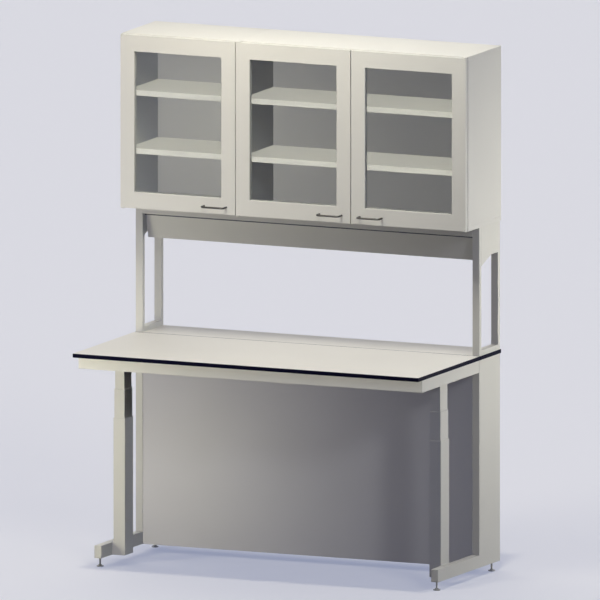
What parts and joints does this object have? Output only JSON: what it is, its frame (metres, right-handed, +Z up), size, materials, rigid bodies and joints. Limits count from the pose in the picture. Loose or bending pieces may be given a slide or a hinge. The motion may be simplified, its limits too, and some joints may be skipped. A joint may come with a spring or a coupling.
{
  "type": "lab bench with reagent shelf",
  "caption": "Height-adjustable lab bench: lifting worktop on telescopic columns, service spine, reagent frame and glazed wall cabinet with hinged doors.",
  "frame": {"origin": "on the floor, at the centre of the footprint", "axes": "+Z up, +Y towards the rear (the spine's side), +X to the right seen from the front"},
  "size_m": [1.5, 0.8, 2.1],
  "materials": {
    "cream_powder_coat": "satin cream powder coat",
    "worktop_laminate": "matt cream compact laminate with a black core edge",
    "cream_faced_board": "cream melamine-faced board",
    "clear_glass": "clear polished float glass",
    "dark_handle_steel": "dark brushed steel",
    "hinge_leaf_paint": "cream painted steel",
    "zinc_plated_steel": "bright zinc plate",
    "motor_casing": "dark die-cast casing",
    "control_box_plastic": "textured black plastic"
  },
  "bodies": {
    "base": {"foot_rail_left": "cream_powder_coat", "foot_rail_right": "cream_powder_coat", "spine_end_panel_left": "cream_powder_coat", "spine_end_panel_right": "cream_powder_coat", "knee_panel": "cream_powder_coat", "spine_rear_panel": "cream_powder_coat", "spine_top_bearer": "cream_powder_coat", "spine_lower_beam": "cream_powder_coat", "rear_ledge": "worktop_laminate", "column_outer_left": "cream_powder_coat", "column_outer_right": "cream_powder_coat", "reagent_frame_left": "cream_powder_coat", "reagent_frame_right": "cream_powder_coat", "front_top_rail": "cream_powder_coat", "rear_top_rail": "cream_powder_coat", "sloping_duct": "cream_powder_coat", "cabinet_single_top": "cream_faced_board", "cabinet_single_bottom": "cream_faced_board", "cabinet_single_side_left": "cream_faced_board", "cabinet_single_side_right": "cream_faced_board", "cabinet_single_back": "cream_faced_board", "shelf_single_upper": "cream_faced_board", "shelf_single_lower": "cream_faced_board", "cabinet_double_top": "cream_faced_board", "cabinet_double_bottom": "cream_faced_board", "cabinet_double_side_left": "cream_faced_board", "cabinet_double_side_right": "cream_faced_board", "cabinet_double_back": "cream_faced_board", "shelf_double_upper": "cream_faced_board", "shelf_double_lower": "cream_faced_board", "door_hinge_left_bottom": "hinge_leaf_paint", "door_hinge_left_top": "hinge_leaf_paint", "door_hinge_middle_bottom": "hinge_leaf_paint", "door_hinge_middle_top": "hinge_leaf_paint", "door_hinge_right_bottom": "hinge_leaf_paint", "door_hinge_right_top": "hinge_leaf_paint"},
    "worktop": {"worktop": "worktop_laminate", "worktop_frame": "cream_powder_coat", "control_box": "control_box_plastic", "column_inner_left": "cream_powder_coat", "column_inner_right": "cream_powder_coat", "lift_motor_left": "motor_casing", "lift_motor_right": "motor_casing"},
    "column_middle": {"column_middle_left": "cream_powder_coat", "column_middle_right": "cream_powder_coat"},
    "lead_screw_left": {"lead_screw_left": "zinc_plated_steel"},
    "lead_screw_right": {"lead_screw_right": "zinc_plated_steel"},
    "door_left": {"door_frame_left": "cream_faced_board", "door_glass_left": "clear_glass", "door_handle_left": "dark_handle_steel"},
    "door_middle": {"door_frame_middle": "cream_faced_board", "door_glass_middle": "clear_glass", "door_handle_middle": "dark_handle_steel"},
    "door_right": {"door_frame_right": "cream_faced_board", "door_glass_right": "clear_glass", "door_handle_right": "dark_handle_steel"},
    "levelling_foot_front_left": {"levelling_foot_front_left": "zinc_plated_steel"},
    "levelling_foot_rear_left": {"levelling_foot_rear_left": "zinc_plated_steel"},
    "levelling_foot_front_right": {"levelling_foot_front_right": "zinc_plated_steel"},
    "levelling_foot_rear_right": {"levelling_foot_rear_right": "zinc_plated_steel"}
  },
  "joints": [
    {"name": "worktop_lift", "type": "slide", "parent": "base", "child": "worktop", "axis": [0, 0, 1], "range_m": [-0.2, 0.3]},
    {"name": "column_middle_slide", "type": "slide", "parent": "base", "child": "column_middle", "axis": [0, 0, 1], "range_m": [-0.1, 0.15]},
    {"name": "lead_screw_left_turn", "type": "hinge", "parent": "worktop", "child": "lead_screw_left", "pos_m": [-0.685, -0.054, 0.55], "axis": [0, 0, 1], "range_deg": [-3600, 5400]},
    {"name": "lead_screw_right_turn", "type": "hinge", "parent": "worktop", "child": "lead_screw_right", "pos_m": [0.685, -0.054, 0.55], "axis": [0, 0, 1], "range_deg": [-3600, 5400]},
    {"name": "door_left_hinge", "type": "hinge", "parent": "base", "child": "door_left", "pos_m": [-0.7405, 0.066, 1.75], "axis": [0, 0, -1], "range_deg": [0, 100]},
    {"name": "door_middle_hinge", "type": "hinge", "parent": "base", "child": "door_middle", "pos_m": [-0.2405, 0.066, 1.75], "axis": [0, 0, -1], "range_deg": [0, 100]},
    {"name": "door_right_hinge", "type": "hinge", "parent": "base", "child": "door_right", "pos_m": [0.7405, 0.066, 1.75], "axis": [0, 0, 1], "range_deg": [0, 100]},
    {"name": "levelling_foot_front_left_screw", "type": "slide", "parent": "base", "child": "levelling_foot_front_left", "axis": [0, 0, 1], "range_m": [-0.015, 0]},
    {"name": "levelling_foot_rear_left_screw", "type": "slide", "parent": "base", "child": "levelling_foot_rear_left", "axis": [0, 0, 1], "range_m": [-0.015, 0]},
    {"name": "levelling_foot_front_right_screw", "type": "slide", "parent": "base", "child": "levelling_foot_front_right", "axis": [0, 0, 1], "range_m": [-0.015, 0]},
    {"name": "levelling_foot_rear_right_screw", "type": "slide", "parent": "base", "child": "levelling_foot_rear_right", "axis": [0, 0, 1], "range_m": [-0.015, 0]}
  ],
  "couplings": [
    {"joint": "column_middle_slide", "follows": "worktop_lift", "ratio": 0.5},
    {"joint": "lead_screw_left_turn", "follows": "worktop_lift", "rad_per_m": 314.16},
    {"joint": "lead_screw_right_turn", "follows": "worktop_lift", "rad_per_m": 314.16}
  ]
}
